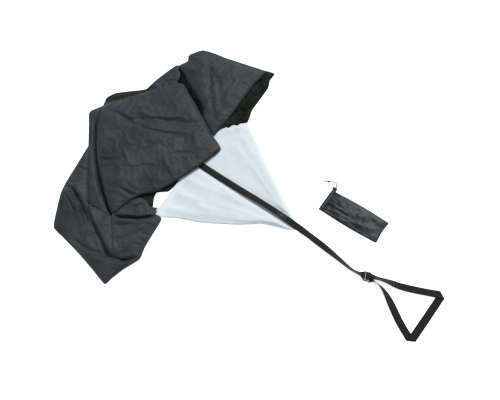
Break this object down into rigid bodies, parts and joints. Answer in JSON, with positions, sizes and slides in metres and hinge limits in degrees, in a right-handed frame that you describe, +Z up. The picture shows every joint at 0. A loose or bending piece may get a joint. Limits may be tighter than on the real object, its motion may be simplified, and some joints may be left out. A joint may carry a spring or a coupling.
{
  "type": "running resistance parachute",
  "caption": "Speed-training drag parachute lying collapsed on the floor: dark canopy in gores, white mesh cone, webbing tow strap with waist loop, drawstring pouch beside it.",
  "frame": {"origin": "on the floor, under the middle of the bounding box of the canopy, mesh cone and pouch; the strap, waist loop and drawcord are left out of that box", "axes": "+Z up from the floor; +X from the canopy towards the waist loop and pouch; +Y towards the canopy's far lobe"},
  "size_m": [1.2845, 1.1816, 0.0439],
  "materials": {
    "canopy_taffeta": "satin",
    "pouch_taffeta": "satin",
    "white_mesh": "matte",
    "black_webbing": "satin",
    "black_thread": "matte",
    "black_cord": "matte",
    "black_acetal": "matte",
    "black_moulded_plastic": "satin",
    "spring_steel": "satin"
  },
  "bodies": {
    "canopy_and_strap": {"gore_middle_upper": "canopy_taffeta", "gore_right_upper": "canopy_taffeta", "gore_side_fold": "canopy_taffeta", "gore_left_outer": "canopy_taffeta", "gore_left_inner": "canopy_taffeta", "gore_right_lower": "canopy_taffeta", "gore_middle_lower": "canopy_taffeta", "gore_left_lower": "canopy_taffeta", "seam_right": "canopy_taffeta", "seam_side": "canopy_taffeta", "seam_left": "canopy_taffeta", "rim_hem_right": "canopy_taffeta", "rim_hem_middle": "canopy_taffeta", "rim_hem_left": "canopy_taffeta", "mesh_lower": "white_mesh", "mesh_upper": "white_mesh", "mesh_hem": "white_mesh", "tow_strap": "black_webbing", "strap_rim_stitches": "black_thread", "strap_apex_stitches": "black_thread"},
    "waist_belt": {"tri_glide": "black_acetal", "waist_loop": "black_webbing", "loop_tail": "black_webbing", "loop_stitches": "black_thread"},
    "pouch": {"pouch_back": "pouch_taffeta", "pouch_front": "pouch_taffeta", "pouch_channel": "pouch_taffeta", "drawcord": "black_cord", "drawcord_knot": "black_cord"},
    "cord_lock": {"cord_lock_barrel": "black_moulded_plastic", "cord_lock_spring": "spring_steel"},
    "lock_plunger": {"cord_lock_plunger": "black_moulded_plastic"}
  },
  "joints": [
    {"name": "waist_loop_lift", "type": "hinge", "parent": "canopy_and_strap", "child": "waist_belt", "pos_m": [0.46594, -0.47095, 0.00175], "axis": [-0.2419, -0.9703, 0], "range_deg": [0, 75]},
    {"name": "pouch_lift", "type": "slide", "parent": "canopy_and_strap", "child": "pouch", "axis": [0, 0, 1], "range_m": [0, 0.3]},
    {"name": "cord_lock_slide", "type": "slide", "parent": "pouch", "child": "cord_lock", "axis": [0.5707, 0.8211, 0], "range_m": [0, 0.005]},
    {"name": "cord_lock_press", "type": "slide", "parent": "cord_lock", "child": "lock_plunger", "axis": [0.8211, -0.5707, 0], "range_m": [0, 0.0025], "stiffness_N_per_m": 250, "deforming": ["cord_lock_spring"]}
  ]
}
